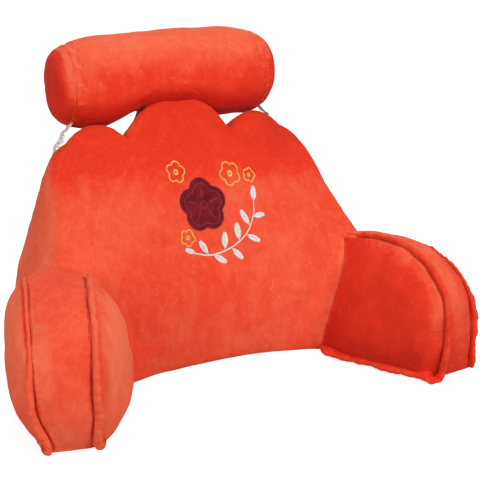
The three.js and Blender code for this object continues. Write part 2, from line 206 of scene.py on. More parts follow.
def outward(outline):
    step = np.roll(outline, -1, 0) - np.roll(outline, 1, 0)
    return unit(np.stack([step[:, 1], -step[:, 0]], axis=1))


def make_object(name, points, faces):
    """A mesh object from points in millimetres."""
    mesh = bpy.data.meshes.new(name)
    mesh.from_pydata((np.asarray(points, float) * MM).tolist(), [], [list(map(int, f)) for f in faces])
    mesh.validate()
    shade_smooth(mesh)
    obj = bpy.data.objects.new(name, mesh)
    bpy.context.scene.collection.objects.link(obj)
    return obj


def shade_smooth(mesh):
    mesh.polygons.foreach_set("use_smooth", np.ones(len(mesh.polygons), bool))


def points_of(obj):
    co = np.empty(len(obj.data.vertices) * 3)
    obj.data.vertices.foreach_get("co", co)
    return co.reshape(-1, 3) / MM


def normals_of(obj):
    normals = np.empty(len(obj.data.vertices) * 3)
    obj.data.vertex_normals.foreach_get("vector", normals)
    return normals.reshape(-1, 3)


def set_points(obj, points):
    obj.data.vertices.foreach_set("co", (np.asarray(points) * MM).ravel())
    obj.data.update()


def apply_modifiers(obj):
    bpy.context.view_layer.update()
    evaluated = obj.evaluated_get(bpy.context.evaluated_depsgraph_get())
    mesh = bpy.data.meshes.new_from_object(evaluated)
    obj.modifiers.clear()
    obj.data = mesh


def bumps(points, size, seed):
    """Smooth noise from -1 to 1 at each point; size is the width of a bump."""
    shifted = points / size + np.array([seed * 17.3, seed * 5.1, seed * 9.7])
    return np.array([noise.noise(Vector(p)) for p in shifted]) * 1.6


def tree_of(*objs):
    """A search tree of the surfaces of one or more objects."""
    points, faces = [], []
    for obj in objs:
        faces += [tuple(v + len(points) for v in p.vertices) for p in obj.data.polygons]
        points += [Vector(p) for p in points_of(obj)]
    return BVHTree.FromPolygons(points, faces)


# ---------- stuffed forms ----------

def loop_faces(n, row_count):
    """Faces of a closed surface of rows, with a single point before the first and after the last."""
    faces = []
    i = np.arange(n)
    j = (i + 1) % n
    faces += [(0, 1 + a, 1 + b) for a, b in zip(i, j)]
    for r in range(row_count - 1):
        low, high = 1 + r * n, 1 + (r + 1) * n
        faces += [(low + a, high + a, high + b, low + b) for a, b in zip(i, j)]
    last = 1 + (row_count - 1) * n
    faces += [(last + b, last + a, last + n) for a, b in zip(i, j)]
    return faces


def stuffed(name, near, far, centre, band_swell, place, rings, band_rows, soft_passes, blend_from):
    """A stuffed form: two crowned panels joined by a band. Returns its object and its two seam rows."""
    centre = np.asarray(centre, float)

    def panel(outline, height, count):
        soft = softened(outline, soft_passes)
        x = (np.arange(count) + 1) / count
        rows = []
        for t in 0.5 * x + 0.5 * np.sin(np.pi / 2 * x):
            q = lerp(soft, outline, smooth(blend_from, 1, t))
            q = centre + (q - centre) * t
            rows.append(place(q[:, 0], q[:, 1], height(q[:, 0], q[:, 1], t)))
        return rows

    normals = outward(near[0])
    ones = np.ones(len(near[0]))
    near_w = near[1](near[0][:, 0], near[0][:, 1], ones)
    far_w = far[1](far[0][:, 0], far[0][:, 1], ones)
    band = []
    for k in (np.arange(band_rows - 1) + 1) / band_rows:
        swell = 4 * k * (1 - k) * band_swell(near[0][:, 0], near[0][:, 1])
        out = lerp(near[0], far[0], k) + normals * swell[:, None]
        band.append(place(out[:, 0], np.maximum(out[:, 1], 0), lerp(near_w, far_w, k)))
    near_rows = panel(*near, rings[0])
    far_rows = panel(*far, rings[1])[::-1]
    rows = near_rows + band + far_rows
    ends = [
        place(*[np.array([c]) for c in centre], np.atleast_1d(side[1](*centre, np.array(0.0))))
        for side in (near, far)
    ]
    n = len(near[0])
    obj = make_object(name, np.vstack([ends[0], *rows, ends[1]]), loop_faces(n, len(rows)))
    seam = lambda row: 1 + row * n + np.arange(n)
    return obj, seam(len(near_rows) - 1), seam(len(near_rows) + len(band))


def face_edge(side, x, z):
    wrap = side["wrap"] * (x / side["wrap_at"]) ** 2 * (1 - (z / side["wrap_top"]) ** 3)
    return side["foot"] + side["lean"] * z + side["tilt"] * smooth(200, 400, z) - wrap


def back_outline(fine):
    notch = (LOBE["notch_x"], LOBE["notch_z"])
    across = (np.arange(7 * fine) / (7 * fine)) ** LOBE_FULLNESS["spacing"]
    rise = (LOBE["top"] - notch[1]) * (1 - across ** LOBE_FULLNESS["power"])
    middle = np.stack([notch[0] * across, notch[1] + rise], axis=1)
    shoulder = (LOBE["shoulder_x"], LOBE["shoulder_z"])
    lobe = arc_points(notch, shoulder, LOBE["side_z"] - shoulder[1], 7 * fine)
    side = resample(SIDE, 18 * fine)
    foot = np.stack([np.linspace(SIDE[-1][0], 0, 5 * fine)[1:], np.zeros(5 * fine - 1)], axis=1)
    half = np.vstack([middle, lobe, side, foot])
    mirrored = half[1:-1][::-1] * [-1, 1]
    return np.vstack([half, mirrored])[::-1]


def inset(outline, depth):
    return outline - outward(outline) * depth(outline[:, 1])[:, None]


def back_form():
    outline = back_outline(4)
    return stuffed(
        "back",
        (inset(outline, lambda z: FRONT["waist"] * (smooth(150, 200, z) - smooth(250, 320, z))),
         lambda x, z, t: face_edge(FRONT, x, z) - FRONT["swell"] * crown(t)),
        (inset(outline, lambda z: LOBE["rear_inset"] * smooth(345, 395, z)),
         lambda x, z, t: face_edge(REAR, x, z) + REAR["swell"] * crown(t)),
        BACK_CENTRE,
        lambda x, z: BACK_BAND_SWELL * (smooth(2, 60, z) - smooth(330, 375, z)),
        lambda x, z, y: np.stack([x, y, z], axis=1),
        rings=(34, 22),
        band_rows=9,
        soft_passes=640,
        blend_from=0.75,
    )


def arm_place(s, z, n):
    splay = math.radians(ARM["splay"])
    x = ARM["root_x"] + s * math.sin(splay) + n * math.cos(splay)
    y = ARM["root_y"] - s * math.cos(splay) + n * math.sin(splay)
    return np.stack([x, y, z], axis=-1)


def arm_outline(columns, fine, rise=0):
    seam = resample([[row[c] for c in columns] for row in ARM_SEAMS], 30 * fine)
    seam[:, 1] += rise * smooth(-100, -40, seam[:, 0]) * (1 - smooth(60, 190, seam[:, 0]))
    foot_s = np.linspace(seam[-1, 0], -86, 7 * fine + 1)[1:]
    foot = np.stack([foot_s, np.zeros(len(foot_s))], axis=1)
    return np.vstack([seam, foot])[::-1]


def inner_edge(side):
    own = ARM_SIDES[side]

    def edge(s, z):
        forward = np.clip(s / ARM["length"], 0, 1)
        flare = own["flare"] * (1 - forward) * np.maximum(0, 1 - z / ARM_INNER["flare_top"])
        tuck = ARM_INNER["tuck"] * smooth(120, 230, s) * (1 - smooth(0, 60, z))
        return lerp(own["seam"], ARM_INNER["tip"], forward) - flare + tuck

    return edge


def outer_edge(side):
    own = ARM_SIDES[side]

    def edge(s, z):
        forward = np.clip(s / ARM["length"], 0, 1)
        dive = ARM_OUTER["dive"] * (1 - smooth(-110, 20, s))
        tuck = own["tuck"] * smooth(120, 230, s) * (1 - smooth(0, 80, z))
        return lerp(ARM_OUTER["root"], ARM_OUTER["tip"] + own["out"], forward) - dive - tuck

    return edge


def arm_form(side, fine=4):
    inner, outer = inner_edge(side), outer_edge(side)
    outer_swell = ARM_SIDES[side]["swell"]

    def inner_height(s, z, t):
        return inner(s, z) - ARM_INNER["swell"] * crown(t, 3.5) * (0.2 + 0.8 * smooth(-20, 90, s))

    def outer_height(s, z, t):
        return outer(s, z) + outer_swell * crown(t, 3) * smooth(-110, 60, s)

    return stuffed(
        "arm",
        (arm_outline((0, 1), fine), inner_height),
        (arm_outline((2, 3), fine, ARM_SIDES[side]["rise"]), outer_height),
        (ARM["centre_s"], ARM["centre_z"]),
        lambda s, z: ARM_BAND_SWELL * smooth(2, 50, z),
        arm_place,
        rings=(22, 22),
        band_rows=16,
        soft_passes=64,
        blend_from=0.55,
    )


def hold_weights(obj, weights):
    group = obj.vertex_groups.new(name="hold")
    for level in np.unique(np.round(weights, 2)):
        where = np.flatnonzero(np.round(weights, 2) == level)
        group.add(where.tolist(), float(level), "REPLACE")


def settle(obj, hold, spare, cap):
    """Stuffs obj by a cloth simulation: spare is the cloth's extra width, cap how far a point may move."""
    start = points_of(obj)
    hold_weights(obj, hold)
    modifier = obj.modifiers.new("stuffing", "CLOTH")
    cloth = modifier.settings
    for key, value in STUFFING.items():
        setattr(cloth, key, value)
    cloth.shrink_min = -spare
    cloth.vertex_group_mass = "hold"
    cloth.effector_weights.gravity = 0
    modifier.collision_settings.use_collision = False
    scene = bpy.context.scene
    modifier.point_cache.frame_end = SETTLE_FRAMES
    for number in range(1, SETTLE_FRAMES + 1):
        scene.frame_set(number)
    apply_modifiers(obj)
    scene.frame_set(1)
    moved = points_of(obj) - start
    length = np.linalg.norm(moved, axis=1, keepdims=True)
    set_points(obj, start + moved * np.minimum(1, cap / np.maximum(length, 1e-9)))


# ---------- finishing a cushion: seams, gathers, stuffing lumps, clear of its neighbours ----------

def nearest_on(line, points, closed=True, fine=3):
    """For each point, its distance from the line and how far along it lies."""
    ends, run = measured(line, closed)
    at = np.linspace(0, run[-1], fine * len(line))
    dense = read_at(ends, run, at)
    tree = KDTree(len(dense))
    for i, p in enumerate(dense):
        tree.insert(p, i)
    tree.balance()
    found = [tree.find(p) for p in points]
    return np.array([f[2] for f in found]), at[[f[1] for f in found]]


def gather_wave(along, pitch, seed):
    """An uneven train of gathers along a seam, from 0 in a crease to 1 on a pleat."""
    drift = 0.35 * np.sin(along / (pitch * 2.3) + seed) + 0.25 * np.sin(along / (pitch * 5.1) + 2 * seed)
    phase = along / pitch + drift
    strength = 0.65 + 0.35 * np.sin(along / (pitch * 3.7) + 3 * seed)
    return np.abs(np.sin(np.pi * phase)) ** 0.7 * strength


def sew(obj, lines, depth, gather, pitch, seed):
    """Draws the surface in along each closed seam line, with gathers beside it, less so by the floor."""
    points, normals = points_of(obj), normals_of(obj)
    push = np.zeros(len(points))
    free = 0.25 + 0.75 * smooth(0, 26, points[:, 2])
    for number, line in enumerate(lines):
        away, along = nearest_on(line, points)
        near = np.exp(-((away / 3.2) ** 2))
        push -= depth * near
        push += 0.35 * depth * np.exp(-(((away - 9) / 5) ** 2))
        wave = gather_wave(along, pitch, seed + number)
        push -= gather * (1 - wave) * np.exp(-away / 13) * (1 - 0.5 * near)
    set_points(obj, points + normals * (push * free)[:, None])


def lump(obj, size, height, seed):
    """Uneven stuffing under the cloth."""
    points, normals = points_of(obj), normals_of(obj)
    set_points(obj, points + normals * (height * bumps(points, size, seed))[:, None])


def halfway(a, b, c, d):
    return (9 * (b + c) - a - d) / 16


def refine(obj, seam_rows):
    """Twice as many rows and columns on a smooth surface through the points; seam rows stay sharp.
    seam_rows are arrays of a row's points, and the new ones are returned."""
    columns = len(seam_rows[0])
    seams = {(row[0] - 1) // columns for row in seam_rows}
    points = points_of(obj)
    grid = points[1:-1].reshape(-1, columns, 3)
    wide = np.empty((len(grid), 2 * columns, 3))
    wide[:, ::2] = grid
    shifted = [np.roll(grid, k, 1) for k in (1, 0, -1, -2)]
    wide[:, 1::2] = halfway(*shifted)
    rows = []
    last = len(wide) - 1
    for r in range(last):
        b, c = wide[r], wide[r + 1]
        before = r > 0 and r not in seams
        after = r + 1 < last and r + 1 not in seams
        d = wide[r + 2] if after else None
        a = wide[r - 1] if before else (3 * b - 3 * c + d if after else 2 * b - c)
        d = d if after else 3 * c - 3 * b + a
        rows += [b, halfway(a, b, c, d)]
    rows.append(wide[last])
    columns *= 2
    faces = loop_faces(columns, len(rows))
    finer = make_object("refined", np.vstack([points[:1], *rows, points[-1:]]), faces)
    obj.data = finer.data
    bpy.data.objects.remove(finer)
    obj.vertex_groups.clear()
    return [1 + 2 * seam * columns + np.arange(columns) for seam in sorted(seams)]


def cut_by(obj, other, gap):
    """Takes the space of another cushion, grown by gap, out of obj."""
    cutter = other.copy()
    cutter.data = other.data.copy()
    bpy.context.scene.collection.objects.link(cutter)
    set_points(cutter, points_of(other) + normals_of(other) * gap)
    modifier = obj.modifiers.new("cut", "BOOLEAN")
    modifier.operation = "DIFFERENCE"
    modifier.solver = "MANIFOLD"
    modifier.object = cutter
    apply_modifiers(obj)
    bpy.data.objects.remove(cutter)
    keep_largest(obj)


def keep_largest(obj):
    mesh = bmesh.new()
    mesh.from_mesh(obj.data)
    mesh.verts.ensure_lookup_table()
    left = set(mesh.verts)
    groups = []
    while left:
        stack = [left.pop()]
        group = list(stack)
        while stack:
            for edge in stack.pop().link_edges:
                for vert in edge.verts:
                    if vert in left:
                        left.remove(vert)
                        stack.append(vert)
                        group.append(vert)
        groups.append(group)
    groups.sort(key=len)
    bmesh.ops.delete(mesh, geom=[v for group in groups[:-1] for v in group], context="VERTS")
    mesh.to_mesh(obj.data)
    mesh.free()


def mirror(obj):
    obj.data.transform(Matrix.Scale(-1, 4, (1, 0, 0)))
    obj.data.flip_normals()


# ---------- tubes, folds and ribbons ----------

def tangents_of(line):
    """Unit tangents of a line of points."""
    return unit(np.gradient(line, axis=0))


def sweep(name, centres, across, up, sections):
    """A closed tube: each section is rows of (across, up) places round its centre."""
    count, sides = sections.shape[:2]
    rings = (centres[:, None] + across[:, None] * sections[..., :1] + up[:, None] * sections[..., 1:])
    points = np.vstack([centres[:1], rings.reshape(-1, 3), centres[-1:]])
    return make_object(name, points, loop_faces(sides, count))


# ---------- stage ----------

CAMERA = dict(lens=95.8, aim=(76.3, 0, 186.9), azimuth=-24.74, elevation=18.15, distance=2287.4)
WORLD_LIGHT = 0.42
FLOOR = dict(reach=9000, grey=0.6, glow=0.75)
LIGHTS = dict(  # place, aim, size and power, in metres and watts
    key=((1.0, -2.5, 2.5), (0, 0, 0.25), 1.3, 64),
    fill=((-2.6, -1.5, 1.5), (0, 0, 0.2), 1.6, 29),
    back=((0.4, 1.6, 2.6), (0, 0, 0.4), 1.2, 15),
)


def put(name, data, place, direction):
    """A lamp or a camera at a place, looking along a direction."""
    obj = bpy.data.objects.new(name, data)
    obj.location = place
    obj.rotation_euler = direction.to_track_quat("-Z", "Y").to_euler()
    bpy.context.scene.collection.objects.link(obj)
    return obj


def camera():
    data = bpy.data.cameras.new("camera")
    data.lens = CAMERA["lens"]
    data.sensor_width = 36
    azimuth, elevation = math.radians(CAMERA["azimuth"]), math.radians(CAMERA["elevation"])
    back_to_it = Vector((
        math.sin(azimuth) * math.cos(elevation),
        -math.cos(azimuth) * math.cos(elevation),
        math.sin(elevation),
    ))
    place = (Vector(CAMERA["aim"]) + back_to_it * CAMERA["distance"]) * MM
    bpy.context.scene.camera = put("camera", data, place, -back_to_it)


def area_light(name, place, aim, size, power):
    data = bpy.data.lights.new(name, "AREA")
    data.shape = "DISK"
    data.size = size
    data.energy = power
    put(name, data, place, Vector(aim) - Vector(place))


def white_background_world():
    """White to the camera and in reflections, and a soft light on the object."""
    world = bpy.data.worlds.new("world")
    world.use_nodes = True
    tree = world.node_tree
    tree.nodes.clear()
    path = add(tree, "LightPath", {}).outputs
    seen = total_of(tree, path["Is Camera Ray"], path["Is Glossy Ray"], "MAXIMUM")
    light, white = [
        add(tree, "Background", {"Color": (1, 1, 1, 1), "Strength": strength}).outputs[0]
        for strength in (WORLD_LIGHT, 1)
    ]
    mix = add(tree, "MixShader", {"Fac": seen, 1: light, 2: white}).outputs[0]
    add(tree, "OutputWorld", {"Surface": mix})
    bpy.context.scene.world = world


def floor():
    """A pale floor that keeps the object's shadow and looks whiter to the camera than it lights."""
    r = FLOOR["reach"]
    obj = make_object("floor", [(-r, -r, 0), (r, -r, 0), (r, r, 0), (-r, r, 0)], [(0, 1, 2, 3)])
    material, tree, shader = principled("floor", (FLOOR["grey"],) * 3, 0.9, 0.1)
    seen = add(tree, "LightPath", {}).outputs["Is Camera Ray"]
    strength = total_of(tree, seen, FLOOR["glow"], "MULTIPLY")
    glow = add(tree, "Emission", {"Color": (1, 1, 1, 1), "Strength": strength}).outputs[0]
    total = add(tree, "AddShader", {0: shader.outputs[0], 1: glow}).outputs[0]
    tree.links.new(total, tree.nodes["Material Output"].inputs["Surface"])
    obj.data.materials.append(material)


def stage():
    bpy.context.scene.view_settings.view_transform = "Standard"
    camera()
    white_background_world()
    floor()
    for name, settings in LIGHTS.items():
        area_light(name, *settings)


# ---------- materials ----------

# The plush's colours from deep to brushed; the deep end also serves as painted shade and the brushed end as
# painted light.
DEEP_AND_SHADED, RED, BRUSHED_AND_LIT = (0.5, 0.007, 0.003), (0.79, 0.041, 0.014), (0.9, 0.19, 0.09)
FELT = (0.155, 0.007, 0.014)
# Seam stitches darker than the plush, partly painted shade in the groove beside each fold.
SEAM_THREAD_AND_SHADE = (0.55, 0.022, 0.011)
THREADS = dict(
    ruby=(0.30, 0.03, 0.045), rose=(0.42, 0.09, 0.10), ivory=(0.86, 0.80, 0.76), honey=(0.90, 0.52, 0.12),
)
# Patches of leaning pile: noise scale per metre, stretch of X, Y and Z, distortion, and from and to values.
PATCHES = [
    (6, (1, 1, 0.8), 0.4, (0.34, 0.66, -0.045, 0.045)),
    (24, (1, 1, 0.8), 0.7, (0.44, 0.62, -0.03, 0.03)),
    (90, (1, 1, 0.6), 0.8, (0.42, 0.62, -0.03, 0.03)),
    (70, (1, 1, 0.6), 2.4, (0.63, 0.74, 0, 0.17)),  # stray tufts
]


def principled(name, colour, roughness, specular=0.3):
    material = bpy.data.materials.new(name)
    material.use_nodes = True
    shader = material.node_tree.nodes["Principled BSDF"]
    shader.inputs["Base Color"].default_value = (*colour, 1)
    shader.inputs["Roughness"].default_value = roughness
    shader.inputs["Specular IOR Level"].default_value = specular
    return material, material.node_tree, shader


def add(tree, kind, inputs, **settings):
    """A shader node; inputs are values or the sockets that feed them."""
    made = tree.nodes.new("ShaderNode" + kind)
    for key, value in settings.items():
        setattr(made, key, value)
    for key, value in inputs.items():
        if isinstance(value, bpy.types.NodeSocket):
            tree.links.new(value, made.inputs[key])
        else:
            made.inputs[key].default_value = value
    return made


def place_in(tree):
    return add(tree, "TexCoord", {}).outputs["Object"]


def noise_of(tree, place, scale, detail, distortion=0.0, stretch=(1, 1, 1)):
    mapped = add(tree, "Mapping", {"Vector": place, "Scale": stretch})
    return add(tree, "TexNoise", {
        "Vector": mapped.outputs[0], "Scale": scale, "Detail": detail, "Distortion": distortion,
    }).outputs["Fac"]


def span(tree, value, low, high, to_low, to_high):
    return add(tree, "MapRange", {
        "Value": value, "From Min": low, "From Max": high, "To Min": to_low, "To Max": to_high,
    }, interpolation_type="SMOOTHSTEP").outputs["Result"]


def total_of(tree, a, b, operation="ADD"):
    return add(tree, "Math", {0: a, 1: b}, operation=operation).outputs[0]


def paint(tree, shader, value, *stops):
    """The shader's colour, from stops of a place in value and a colour."""
    made = add(tree, "ValToRGB", {"Fac": value})
    elements = made.color_ramp.elements
    while len(elements) < len(stops):
        elements.new(0.5)
    for element, (place, colour) in zip(elements, stops):
        element.position = place
        element.color = (*colour, 1)
    tree.links.new(made.outputs["Color"], shader.inputs["Base Color"])


def bump(tree, shader, height, strength, distance):
    made = add(tree, "Bump", {"Height": height, "Strength": strength, "Distance": distance})
    tree.links.new(made.outputs[0], shader.inputs["Normal"])


def plush():
    """Brushed pile: its tone, part pile and part painted light and shade, is laid on each piece as an
    attribute, and varies in soft patches.
    """
    material, tree, shader = principled("plush", RED, 0.9, 0.15)
    place = place_in(tree)
    nap_and_light = add(tree, "Attribute", {}, attribute_name="nap_and_light").outputs["Fac"]
    for scale, stretch, distortion, levels in PATCHES:
        patch = noise_of(tree, place, scale, 3.0, distortion, stretch)
        nap_and_light = total_of(tree, nap_and_light, span(tree, patch, *levels))
    paint(tree, shader, nap_and_light, (0.0, DEEP_AND_SHADED), (0.5, RED), (1.0, BRUSHED_AND_LIT))
    fibre = noise_of(tree, place, 900, 2.0)
    tuft = noise_of(tree, place, 230, 2.0, 0.6)
    bump(tree, shader, total_of(tree, fibre, total_of(tree, tuft, 1.3, "MULTIPLY")), 0.5, 0.0007)
    shader.inputs["Sheen Weight"].default_value = 0.2
    shader.inputs["Sheen Roughness"].default_value = 0.35
    shader.inputs["Sheen Tint"].default_value = (1, 0.36, 0.2, 1)
    return material


def webbing():
    """Ribbed polyester tape."""
    material, tree, shader = principled("webbing", (0.85, 0.82, 0.82), 0.75)
    place = place_in(tree)
    weave = add(tree, "TexWave", {"Vector": place, "Scale": 420.0, "Distortion": 0.6}, bands_direction="Y")
    paint(tree, shader, weave.outputs["Fac"], (0.0, (0.72, 0.69, 0.69)), (1.0, (0.9, 0.87, 0.87)))
    bump(tree, shader, weave.outputs["Fac"], 0.5, 0.0004)
    return material


def slider_plastic():
    """Moulded plastic, a little cloudy in its gloss."""
    material, tree, shader = principled("slider plastic", (0.9, 0.88, 0.88), 0.42, 0.5)
    place = place_in(tree)
    cloudy = noise_of(tree, place, 220, 3.0)
    tree.links.new(span(tree, cloudy, 0.3, 0.7, 0.36, 0.5), shader.inputs["Roughness"])
    bump(tree, shader, cloudy, 0.15, 0.0003)
    return material


def felt(colour):
    """Short matted pile, a little uneven in tone."""
    material, tree, shader = principled("felt", colour, 0.95, 0.1)
    place = place_in(tree)
    blotch = noise_of(tree, place, 60, 4.0, 0.8)
    dark = tuple(0.7 * c for c in colour)
    light = tuple(1.35 * c for c in colour)
    paint(tree, shader, blotch, (0.35, dark), (0.65, light))
    bump(tree, shader, noise_of(tree, place, 1400, 2.0), 0.5, 0.0004)
    shader.inputs["Sheen Weight"].default_value = 0.25
    shader.inputs["Sheen Tint"].default_value = (1, 0.4, 0.45, 1)
    return material


def thread(name, colour):
    """Lustrous embroidery thread."""
    material, tree, shader = principled(name, colour, 0.42, 0.5)
    place = place_in(tree)
    uneven = noise_of(tree, place, 300, 2.0)
    shade = tuple(0.82 * c for c in colour)
    paint(tree, shader, uneven, (0.35, shade), (0.6, colour))
    return material


# ---------- cushions ----------

def lay_nap_and_light(obj, lean):
    """The pile's tone with painted light and shade, from 0, deep and shaded, to 1, brushed and lit; lean is a
    function of points and normals.
    """
    values = np.clip(lean(points_of(obj), normals_of(obj)), 0, 1)
    attributes = obj.data.attributes
    attribute = attributes.get("nap_and_light") or attributes.new("nap_and_light", "FLOAT", "POINT")
    attribute.data.foreach_set("value", values.astype(np.float32))


def dress(obj, name, material, fill, lean, *nodes):
    obj.name = obj.data.name = name
    obj.data.materials.clear()
    obj.data.materials.append(material)
    shade_smooth(obj.data)
    lay_nap_and_light(obj, lean)
    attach(obj, "root")
    if nodes:
        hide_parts(*nodes)


# The back's tone, part pile and part painted light and shade: the lower face lighter, the lobes darker and
# darker still to the right, the sides by how they face, the left side lighter than the right.
def back_nap_and_light(points, normals):
    x, z = points[:, 0], points[:, 2]
    lobes = smooth(260, 370, z)
    face = lerp(0.66, 0.45, lobes) - 0.11 * lobes * smooth(60, 200, x)
    side = smooth(0.55, 0.9, np.abs(normals[:, 0]))
    return lerp(face, np.where(x < 0, 0.8, 0.62), side)


def arm_nap_and_light(inner, outer, band):
    """The pile on an arm with painted light and shade: tones of its inner and outer panels and its band, each
    low and high.
    """
    def lean(points, normals):
        inward = -normals[:, 0] * np.sign(points[:, 0])
        height = smooth(10, 150, points[:, 2])
        tone = lerp(lerp(*band, height), lerp(*inner, height), smooth(0.35, 0.75, inward))
        return lerp(tone, lerp(*outer, height), smooth(0.35, 0.75, -inward))
    return lean


# The roll's tone, part pile and part painted light and shade: painted shade underneath and painted light on
# top, darker ends, and a lighter band along its side towards the left end.
def roll_nap_and_light(points, normals):
    up = normals[:, 2]
    side = 0.2 + 0.34 * smooth(-0.7, 0.1, up) + 0.27 * smooth(0.1, 0.9, up)
    brushed = 0.14 * smooth(120, 190, -points[:, 0]) * (1 - smooth(0.2, 0.6, np.abs(up - 0.1)))
    end = 0.3 + 0.1 * smooth(-0.2, 0.6, up)
    return lerp(side + brushed, end, smooth(0.5, 0.8, np.abs(normals[:, 0])))


def brush_along(obj, line, reach, amount):
    """Pile lifted beside a seam, in uneven strokes."""
    points = points_of(obj)
    values = np.zeros(len(points), np.float32)
    attribute = obj.data.attributes["nap_and_light"]
    attribute.data.foreach_get("value", values)
    away, along = nearest_on(line, points, closed=False)
    ragged = reach * (1 + 0.8 * wander(along, 7, 2.3)[:, 0])
    stroke = np.exp(-((away / ragged) ** 2))
    attribute.data.foreach_set("value", np.clip(values + amount * stroke, 0, 1).astype(np.float32))


def even_tone(tone):
    return lambda points, normals: np.full(len(points), tone)


def held(obj, rows):
    """1 on the seam rows and by the floor, falling to 0 beside the seams."""
    points = points_of(obj)
    weight = np.zeros(len(points))
    for row in rows:
        away = nearest_on(points[row], points)[0]
        weight = np.maximum(weight, np.clip(1 - away / HELD["seam"], 0, 1))
    weight[points[:, 2] < HELD["floor"]] = 1
    return weight


def rows_on(obj, rows):
    """The points of obj on each of its seam rows."""
    points = points_of(obj)
    return [points[row] for row in rows]


def make_back():
    """The stuffed back, and the front and rear seams on its finished surface."""
    obj, *rows = back_form()
    lines = rows_on(obj, rows)
    settle(obj, held(obj, rows), spare=0.003, cap=8)
    rows = refine(obj, rows)
    lump(obj, 85, 1.6, 1)
    lump(obj, 34, 0.7, 2)
    sew(obj, lines, depth=1.8, gather=1.0, pitch=17, seed=0.4)
    flatten_foot(obj)
    return obj, rows_on(obj, rows)


def flatten_foot(obj):
    points = points_of(obj)
    points[:, 2] = np.maximum(points[:, 2], 0)
    set_points(obj, points)


def make_arm(side, back):
    """A stuffed arm, cut clear of the back."""
    seed = SEEDS["arm"][side]
    obj, *rows = arm_form(side)
    lines = rows_on(obj, rows)
    hold = held(obj, rows)
    hold[points_of(obj)[:, 1] > HELD["arm_y"]] = 1
    settle(obj, hold, spare=0.003, cap=7)
    refine(obj, rows)
    if side == "left":
        mirror(obj)
        lines = [line * [-1, 1, 1] for line in lines]
    lump(obj, 60, 2.2, seed)
    lump(obj, 26, 0.9, seed + 1)
    sew(obj, lines, depth=3.0, gather=2.4, pitch=11, seed=seed * 0.3)
    flatten_foot(obj)
    cut_by(obj, back, GAP["cushion"])
    return obj


def roll_radius(x):
    return ROLL["radius"] * (1 - (x / ROLL["reach"]) ** ROLL["power"]) ** (1 / ROLL["power"])


def pressed(x, up):
    """How far the roll's surface is pushed up, at x along it; up is 1 on its top and -1 underneath."""
    on_lobe = (1 - smooth(*ROLL_DENT["left"], -x)) * (1 - smooth(*ROLL_DENT["right"], x))
    dent = np.maximum(0, ROLL_DENT["front"] - up) / (1 + ROLL_DENT["front"])
    at_end = np.maximum(smooth(*ROLL_SAG["left"], -x), smooth(*ROLL_SAG["right"], x))
    return ROLL_DENT["rise"] * on_lobe * dent ** 1.5 - ROLL_SAG["fall"] * at_end * np.maximum(0, -up) ** 2


def roll_form():
    """The roll as rings along X, evenly spaced along its profile, with a ring on each end's seam."""
    x = ROLL["reach"] * np.sin(np.linspace(0, np.pi / 2, 400)) ** 0.6
    profile = np.stack([roll_radius(x), x], axis=1)[::-1]
    split = np.argmin(np.abs(profile[:, 1] - ROLL["seam_x"]))
    end = resample(profile[:split + 1][::8], 24)[1:]
    side = resample(profile[split:][::8], 30)[1:]
    half = np.vstack([end, side])
    rings = np.vstack([half * [1, -1], half[:-1][::-1]])
    angle = angles(ROLL["sides"])
    circle = np.stack([np.zeros_like(angle), np.sin(angle), np.cos(angle)], axis=1)
    centre = np.array([0, ROLL["y"], ROLL["z"]])
    rows = []
    for radius, x in rings:
        row = circle * radius + centre + [x, 0, 0]
        row[:, 2] += pressed(x, np.cos(angle)) * radius / ROLL["radius"]
        rows.append(row)
    points = np.vstack([centre - [ROLL["reach"], 0, 0], *rows, centre + [ROLL["reach"], 0, 0]])
    obj = make_object("roll", points, loop_faces(ROLL["sides"], len(rows)))
    seam = lambda row: 1 + row * ROLL["sides"] + np.arange(ROLL["sides"])
    return obj, seam(23), seam(len(rows) - 24)


def make_roll(back):
    """The stuffed roll, cut clear of the back, and its end seams."""
    obj, *rows = roll_form()
    lines = rows_on(obj, rows)
    settle(obj, held(obj, rows), spare=0.004, cap=6)
    rows = refine(obj, rows)
    lump(obj, 70, 1.8, 5)
    lump(obj, 30, 0.6, 6)
    sew(obj, lines, depth=1.2, gather=1.0, pitch=15, seed=1.7)
    seams = rows_on(obj, rows)
    cut_by(obj, back, GAP["cushion"])
    return obj, seams


# ---------- raised seams of the arms ----------

def fold_route(outline, edge, out_sign, start):
    """The seam of a side panel in the arm's own frame, with the fold's axis and how flat it lies."""
    normals = outward(outline)
    keep = outline[:, 0] > np.where(outline[:, 1] > 0, start, FOLD["foot_start"])
    p, out = outline[keep][::-1], normals[keep][::-1]
    flat = smooth(0.2, 0.9, -out[:, 1])
    n = edge(p[:, 0], p[:, 1])
    axis = np.stack([out[:, 0], out[:, 1] * (1 - flat), out_sign * (0.8 + 0.6 * flat)], axis=1)
    return np.column_stack([p, n]), unit(axis), flat


def eased(values, passes):
    """Values along a line, averaged with their neighbours; the ends stay."""
    for _ in range(passes):
        values[1:-1] = (values[:-2] + 2 * values[1:-1] + values[2:]) / 4
    return values


def wander(at, size, seed):
    """Smooth noise along a line, as a column."""
    return np.array([noise.noise(Vector((a / size, seed, 0.5))) for a in at])[:, None]


